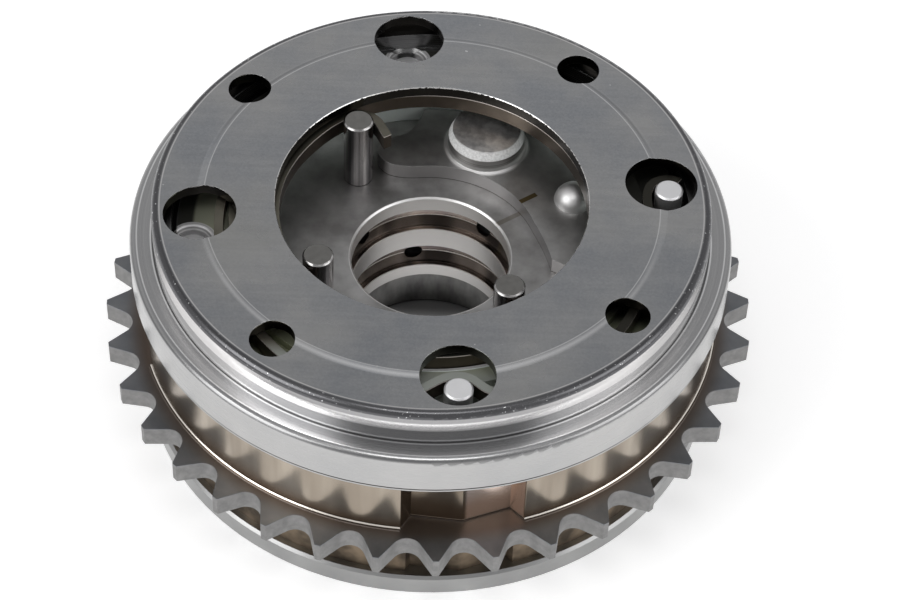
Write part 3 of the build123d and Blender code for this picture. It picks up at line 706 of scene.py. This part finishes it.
# %% The bore
BORE_RADIUS = 13.75 * MM
COUNTERBORE_FRONT = 9.65 * MM
GROOVE_MIDDLES = (24.1 * MM, 14.75 * MM)


def groove_colour(g):
    sheens = g.spread(g.noise(140.0, 2.0, 0.5, stretch=(1.0, 1.0, 0.2)), 0.40, 0.60)
    colour = g.mix(sheens, (0.30, 0.255, 0.25), (0.52, 0.47, 0.43))
    for middle in GROOVE_MIDDLES:
        # The lower half of each groove is painted darker as shade.
        lower_half_shade = g.band(g.z, middle - 2.6 * MM, middle - 0.15 * MM, 0.08 * MM)
        dark = g.mix(sheens, (0.055, 0.045, 0.04), (0.28, 0.235, 0.205))
        colour = g.mix(lower_half_shade, colour, dark)
        # A painted highlight on the groove's ridge.
        ridge_highlight = g.band(g.z, middle - 0.12 * MM, middle + 0.10 * MM, 0.05 * MM)
        colour = g.mix(ridge_highlight, colour, (0.92, 0.88, 0.83))
    return colour


def bore_colour(g, land):
    colour = g.mix(land, groove_colour(g), (0.86, 0.84, 0.82))
    # The counterbore's mottled streaks are painted reflection and shade.
    streaks = g.noise(150.0, 4.0, 0.65, stretch=(1.0, 1.0, 0.35))
    mottled = g.mix(g.spread(streaks, 0.38, 0.62), (0.07, 0.07, 0.07), (0.62, 0.61, 0.59))
    rear = g.step(g.z, COUNTERBORE_FRONT + 0.02 * MM, COUNTERBORE_FRONT - 0.05 * MM)
    return g.mix(rear, colour, mottled)


print(f"bore: {2 * BORE_RADIUS / MM:.1f} mm wide")

# %% [markdown]
# ## The rotor's timing line
#
# A thin dark bronze line runs from the bore over the sector, and fainter over the hub face. Such a
# line helps to set the timing. It could be a shallow groove, but it casts no shade in the
# photograph, so it is only colour. The distance from a ray at its angle gives its width.

# %% The timing line
TIMING_ANGLE = math.radians(35.5)
TIMING_HALF_WIDTH = 0.47 * MM
TIMING_END = 22.2 * MM


def timing_mask(g):
    along_y = g.times(g.y, math.cos(TIMING_ANGLE))
    across = g.math("SUBTRACT", along_y, g.times(g.x, math.sin(TIMING_ANGLE)))
    line = g.band(across, -TIMING_HALF_WIDTH, TIMING_HALF_WIDTH, 0.05 * MM)
    reach = g.band(g.radius, BORE_RADIUS + 0.2 * MM, TIMING_END, 0.1 * MM)
    one_side = g.step(g.x, 5.0 * MM, 6.0 * MM)
    on_sector = g.step(g.z, SECTOR_FACE - 0.15 * MM, SECTOR_FACE - 0.05 * MM)
    on_face = g.times(g.step(g.z, HUB_FACE + 0.15 * MM, HUB_FACE + 0.05 * MM), 0.45)
    flat = g.math("MAXIMUM", on_sector, on_face)
    return g.times(g.times(g.times(line, reach), one_side), flat)


print(f"timing line: {2 * TIMING_HALF_WIDTH / MM:.2f} mm wide")

# %% [markdown]
# ## The whole rotor
#
# The layers come together in the order in which they cover each other, with a painted highlight
# round the bore's edge. The boss's chamfer, painted bright as a highlight, could be a mirror like
# the rest, but then it would be dark from some sides, so it is hardly metal and stays light.


# %% The rotor
def satin_rotor():
    g = Graph("satin rotor")
    grain = g.noise(2400.0, 2.0, 0.6)
    on_boss = g.step(g.z, SECTOR_FACE + 0.05 * MM, SECTOR_FACE + 0.15 * MM)
    from_boss = g.away_from(BOSS_CENTRE)
    chamfer = g.step(from_boss, BOSS_TOP_RADIUS - 0.05 * MM, BOSS_TOP_RADIUS + 0.05 * MM)
    high = g.step(g.z, SECTOR_FACE + 2.4 * MM, SECTOR_FACE + 2.6 * MM)
    colour = g.mix(on_boss, face_colour(g), boss_colour(g, grain, chamfer, high))
    # A painted highlight round the bore's edge.
    bore_edge_highlight = g.step(g.radius, BORE_RADIUS + 0.45 * MM, BORE_RADIUS + 0.35 * MM)
    colour = g.mix(bore_edge_highlight, colour, (0.80, 0.79, 0.78))
    near_bore = g.step(g.radius, BORE_RADIUS + 2.3 * MM, BORE_RADIUS + 1.6 * MM)
    in_bore = g.times(near_bore, g.step(g.z, HUB_FACE - 0.25 * MM, HUB_FACE - 0.40 * MM))
    land = g.step(g.radius, BORE_RADIUS + 0.25 * MM, BORE_RADIUS + 0.10 * MM)
    colour = g.mix(in_bore, colour, bore_colour(g, land))
    colour = g.mix(timing_mask(g), colour, (0.10, 0.075, 0.035))
    g.bump(grain, 0.010 * MM, 0.6)
    rough = g.blend(in_bore, 0.40, g.blend(land, 0.26, 0.40))
    # The chamfer's painted highlight is hardly metal.
    chamfer_highlight = g.times(g.times(on_boss, chamfer), high)
    return g.finish(colour, rough, g.blend(chamfer_highlight, 1.0, 0.15))


dress(satin_rotor(), "rotor")

# %% [markdown]
# ## The return spring
#
# The flat strip turns the rotor back to its locked end. Tempering leaves such strip almost black.
# Its upper corner carries a painted highlight line, and its upper edge is brown-grey, painted
# lighter at the front post as light and darker at the right as shade. The corner could be a curve
# along the spiral, but the whole strip lies at one height, so a band in the height finds it.

# %% The strip
STRIP_TOP = 41.8 * MM


def tempered_strip():
    g = Graph("tempered strip")
    colour = g.mix(g.noise(300.0), (0.07, 0.056, 0.044), (0.13, 0.108, 0.086))
    # A painted highlight line along the upper corner.
    corner_highlight = g.band(g.z, STRIP_TOP - 0.24 * MM, STRIP_TOP - 0.06 * MM, 0.03 * MM)
    colour = g.mix(corner_highlight, colour, (0.95, 0.86, 0.80))
    face = g.mix(g.noise(220.0), (0.10, 0.095, 0.075), (0.24, 0.225, 0.185))
    # The top is painted darker at the right as shade, and lighter at the front post as light.
    face = g.mix(g.step(g.x, 25.0 * MM, 29.0 * MM), face, (0.045, 0.043, 0.036))
    face = g.mix(g.step(g.y, -31.0 * MM, -35.0 * MM), face, (0.40, 0.42, 0.385))
    top = g.step(g.z, STRIP_TOP - 0.10 * MM, STRIP_TOP - 0.02 * MM)
    colour = g.mix(top, colour, face)
    return g.finish(colour, 0.34, g.blend(corner_highlight, 1.0, 0.35))


dress(tempered_strip(), "return_spring")

# %% [markdown]
# ## The ground pins
#
# Three pins stand in the rotor's face, and one of them holds the return spring. Streaks run up
# their walls, the chamfer is even, the top is matt grey, and the foot stands in shade. The streaks
# could be an image wrapped round each pin. Noise that ignores the height needs no wrapping. The
# dowel of the rear cover is ground too and gets the same finish.

# %% The pins
PIN_TOP = 43.5 * MM
FINE_GRAIN = 1800.0
FINE_GRAIN_DEPTH = 0.006 * MM


def ground_pin():
    g = Graph("ground pin")
    no_height = g.node("ShaderNodeCombineXYZ", g.x, g.y, 0.0).outputs[0]
    upright = g.spread(g.noise(520.0, 3.0, 0.6, where=no_height), 0.38, 0.62)
    colour = g.mix(upright, (0.13, 0.125, 0.13), (0.66, 0.635, 0.63))
    chamfer = g.band(g.z, PIN_TOP - 0.32 * MM, PIN_TOP - 0.14 * MM, 0.03 * MM)
    colour = g.mix(chamfer, colour, (0.40, 0.395, 0.39))
    foot = g.step(g.z, HUB_FACE + 0.16 * MM, HUB_FACE + 0.10 * MM)
    colour = g.mix(foot, colour, (0.03, 0.03, 0.03))
    top = g.step(g.z, PIN_TOP - 0.05 * MM, PIN_TOP - 0.02 * MM)
    colour = g.mix(top, colour, g.mix(g.noise(900.0), (0.20, 0.195, 0.185), (0.30, 0.295, 0.28)))
    g.bump(g.noise(FINE_GRAIN, 2.0, 0.6), FINE_GRAIN_DEPTH, 0.4)
    return g.finish(colour, 0.22)


dress(ground_pin(), *numbered("rotor_pin", 3), "cover_dowel")

# %% [markdown]
# ## Screws, ball, lock and seals
#
# The rest are small pieces of one finish each: pale screw ends, the pressed ball, the hardened
# lock, spring wire and leaf springs. They could share one steel, but the photograph shows the
# screws lighter than the ball, and the inner pieces should differ when the unit is taken apart.
# The seals are black plastic, so they alone have no metal in them.

# %% The small pieces
CLOUD_TONE = 0.88


def plain_metal(name, colour, roughness):
    g = Graph(name)
    darker = tuple(part * CLOUD_TONE for part in colour)
    g.bump(g.noise(FINE_GRAIN, 2.0, 0.6), FINE_GRAIN_DEPTH, 0.4)
    return g.finish(g.mix(g.noise(260.0), darker, colour), roughness)


def seal_plastic():
    g = Graph("seal plastic")
    colour = g.mix(g.noise(500.0), (0.015, 0.014, 0.013), (0.035, 0.032, 0.03))
    return g.finish(colour, 0.55, metallic=0.0)


screws = [*numbered("housing_screw", 2), *numbered("spring_post_screw", 2)]
leaves = [*numbered("vane_seal_spring", 4), *numbered("shoe_seal_spring", 4)]
seals = [*numbered("vane_seal", 4), *numbered("shoe_seal", 4)]
dress(plain_metal("screw steel", (0.97, 0.97, 0.98), 0.50), *screws)
dress(plain_metal("ball steel", (0.72, 0.715, 0.71), 0.46), "oil_plug_ball")
dress(plain_metal("hardened steel", (0.45, 0.45, 0.45), 0.26), "lock_bush", "lock_pin")
dress(plain_metal("spring wire", (0.40, 0.40, 0.40), 0.30), "lock_pin_spring")
dress(plain_metal("leaf steel", (0.55, 0.55, 0.55), 0.30), *leaves)
dress(seal_plastic(), *seals)

# %% [markdown]
# ## The lock pin's coil
#
# A coil spring gets shorter when its pin moves in. The imported coil can't. It could be rebuilt for
# each pose, but a straight squash along its axis looks the same. So a copy, with its doubled points
# merged, takes its place and hangs on the rotor.


def giving_coil():
    mesh = nodes["lock_pin_spring"].data.copy()
    shape = bmesh.new()
    shape.from_mesh(mesh)
    bmesh.ops.remove_doubles(shape, verts=shape.verts, dist=0.001 * MM)
    shape.to_mesh(mesh)
    shape.free()
    coil = bpy.data.objects.new("lock_pin_coil", mesh)
    bpy.context.scene.collection.objects.link(coil)
    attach(coil, "rotor")
    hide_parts("lock_pin_spring")
    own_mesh(coil)


giving_coil()

# %% [markdown]
# ## The floor
#
# In the photograph a white floor runs into a white background without an edge. A curved backdrop
# would do that, but a flat floor with a slight glow is just as white from every side. The glow is
# only for the camera and for reflections, and lights nothing else. Under the part, and seen through
# the bore towards the back, the floor is painted dark grey as shadow and has no glow.

# %% The floor
FLOOR_DROP = 0.02 * MM
FLOOR_SIZE = 3.0
FLOOR_GLOW = 0.36


def floor_paper():
    g = Graph("floor paper")
    open_floor = g.step(g.radius, 40.0 * MM, 50.0 * MM)
    # Under the part towards the back the floor is painted dark grey as shadow, without glow.
    white = g.math("MAXIMUM", open_floor, g.step(g.y, 14.5 * MM, 3.0 * MM))
    rays = g.tree.nodes.new("ShaderNodeLightPath")
    seen = g.math("MAXIMUM", rays.outputs["Is Camera Ray"], rays.outputs["Is Glossy Ray"])
    g.shader.inputs["Emission Color"].default_value = (1.0, 1.0, 1.0, 1.0)
    g.put(g.shader.inputs["Emission Strength"], g.times(g.times(white, seen), FLOOR_GLOW))
    return g.finish(g.mix(white, (0.10, 0.10, 0.10), (0.90, 0.90, 0.90)), 0.9, metallic=0.0)


def white_floor():
    mesh = bpy.data.meshes.new("floor")
    shape = bmesh.new()
    bmesh.ops.create_grid(shape, x_segments=1, y_segments=1, size=FLOOR_SIZE)
    shape.to_mesh(mesh)
    shape.free()
    floor = bpy.data.objects.new("floor", mesh)
    bpy.context.scene.collection.objects.link(floor)
    floor.location.z = -FLOOR_DROP
    mesh.materials.append(floor_paper())
    print(f"floor: {FLOOR_DROP / MM:.2f} mm under the part")


white_floor()

# %% [markdown]
# ## The sky
#
# Polished metal has hardly a tone of its own: it shows what is round it. A room that is all white
# would leave the part without shape, so the sky is graded, bright near the horizon and grey higher
# up, where the flat faces look. An image of a studio could stand there too, but a ramp of a few
# greys is easier to tune. The camera itself sees plain white.

# %% The graded sky
SKY_STOPS = (
    (0.0, 0.75),
    (0.20, 0.60),
    (0.36, 0.50),
    (0.60, 0.58),
    (0.67, 0.54),
    (0.75, 0.37),
    (0.86, 0.42),
    (0.97, 0.60),
    (1.0, 0.60),
)


def set_stops(ramp):
    """Sets a place and a grey for each stop. A new ramp already has its first and its last."""
    ramp.elements[0].position = SKY_STOPS[0][0]
    ramp.elements[1].position = SKY_STOPS[-1][0]
    for position, _ in SKY_STOPS[1:-1]:
        ramp.elements.new(position)
    for element, (_, level) in zip(ramp.elements, SKY_STOPS):
        element.color = (level, level, level * 1.01, 1.0)


def graded_sky():
    world = bpy.data.worlds.new("studio")
    bpy.context.scene.world = world
    world.use_nodes = True
    tree = world.node_tree
    tree.nodes.clear()
    place = tree.nodes.new("ShaderNodeTexCoord").outputs["Generated"]
    split = tree.nodes.new("ShaderNodeSeparateXYZ")
    tree.links.new(place, split.inputs[0])
    height = tree.nodes.new("ShaderNodeValToRGB")
    tree.links.new(split.outputs[2], height.inputs["Fac"])
    set_stops(height.color_ramp)
    reflected = tree.nodes.new("ShaderNodeBackground")
    tree.links.new(height.outputs["Color"], reflected.inputs["Color"])
    white = tree.nodes.new("ShaderNodeBackground")
    white.inputs["Color"].default_value = (1.0, 1.0, 1.0, 1.0)
    path = tree.nodes.new("ShaderNodeLightPath")
    chooser = tree.nodes.new("ShaderNodeMixShader")
    tree.links.new(path.outputs["Is Camera Ray"], chooser.inputs["Fac"])
    tree.links.new(reflected.outputs[0], chooser.inputs[1])
    tree.links.new(white.outputs[0], chooser.inputs[2])
    output = tree.nodes.new("ShaderNodeOutputWorld")
    tree.links.new(chooser.outputs[0], output.inputs["Surface"])
    print(f"sky: {len(SKY_STOPS)} greys")


graded_sky()

# %% [markdown]
# ## The lamps
#
# A studio lights metal with large soft boxes, because a small lamp makes a hard white dot on it.
# Blender also has point, spot and sun lamps, but area lamps are the nearest thing to soft boxes.
# The sky gives most of the light, and these three only add direction.

# %% Three soft boxes
LAMP_TARGET = (0, 0, 0.03)


def softbox(name, position, size, power):
    """A rectangular area light that faces the part."""
    lamp = bpy.data.lights.new(name, "AREA")
    lamp.shape = "RECTANGLE"
    lamp.size, lamp.size_y = size
    lamp.energy = power
    lamp_object = bpy.data.objects.new(name, lamp)
    bpy.context.scene.collection.objects.link(lamp_object)
    lamp_object.location = position
    aim = Vector(LAMP_TARGET) - Vector(position)
    lamp_object.rotation_euler = aim.to_track_quat("-Z", "Y").to_euler()
    print(f"lamp {name}: {power} W, {aim.length:.2f} m away")


softbox("key", (-0.55, -0.30, 0.50), (0.50, 0.50), 2.4)
softbox("fill", (0.60, -0.20, 0.45), (0.50, 0.50), 1.4)
softbox("top", (0.0, -0.25, 0.85), (0.35, 0.25), 0.8)

# %% [markdown]
# ## The camera
#
# The lens and its place come from the photograph: the cup's rims, its holes, the screws and the
# teeth all land on their pixels from here. A camera could be set by eye, but then the render
# couldn't be laid over the photograph. The lens points at the picture's middle.

# %% The camera
FRAME_WIDTH = 900
AXIS_PIXEL = (432.24, 198.26)
MIDDLE_PIXEL = (450.0, 300.0)
FOCAL_PIXELS = 2743.0
SENSOR = 36.0
ELEVATION = math.radians(48.396)
ROLL = math.radians(2.315)
DISTANCE = 464.2 * MM


def place_camera():
    right = Vector((1, 0, 0))
    back = Vector((0, -math.cos(ELEVATION), math.sin(ELEVATION)))
    up = back.cross(right)
    rolled_right = math.cos(ROLL) * right + math.sin(ROLL) * up
    rolled_up = math.cos(ROLL) * up - math.sin(ROLL) * right
    side = (AXIS_PIXEL[0] - MIDDLE_PIXEL[0]) / FOCAL_PIXELS * DISTANCE
    drop = (AXIS_PIXEL[1] - MIDDLE_PIXEL[1]) / FOCAL_PIXELS * DISTANCE
    seen = rolled_right * side - rolled_up * drop - back * DISTANCE
    lens = bpy.data.cameras.new("camera")
    lens.sensor_width = SENSOR
    lens.lens = FOCAL_PIXELS * SENSOR / FRAME_WIDTH
    lens.clip_start = 0.01
    camera = bpy.data.objects.new("camera", lens)
    bpy.context.scene.collection.objects.link(camera)
    turn = Matrix((rolled_right, rolled_up, back)).transposed().to_4x4()
    camera.matrix_world = Matrix.Translation(Vector((0, 0, CUP_TOP)) - seen) @ turn
    bpy.context.scene.camera = camera
    print(f"camera: {lens.lens:.1f} mm lens, {DISTANCE / MM:.0f} mm from the cup")


place_camera()

# %% [markdown]
# ## Render settings
#
# The photograph is plain, without a film look. Blender's default view turns white paper light
# grey, so the Standard view is used, which keeps it white. Ten bounces let light find its way out
# of the bore and from under the cup.

# %% The settings
scene = bpy.context.scene
scene.view_settings.view_transform = "Standard"
scene.cycles.use_denoising = True
scene.cycles.max_bounces = 10
print(f"view: {scene.view_settings.view_transform}, bounces: {scene.cycles.max_bounces}")
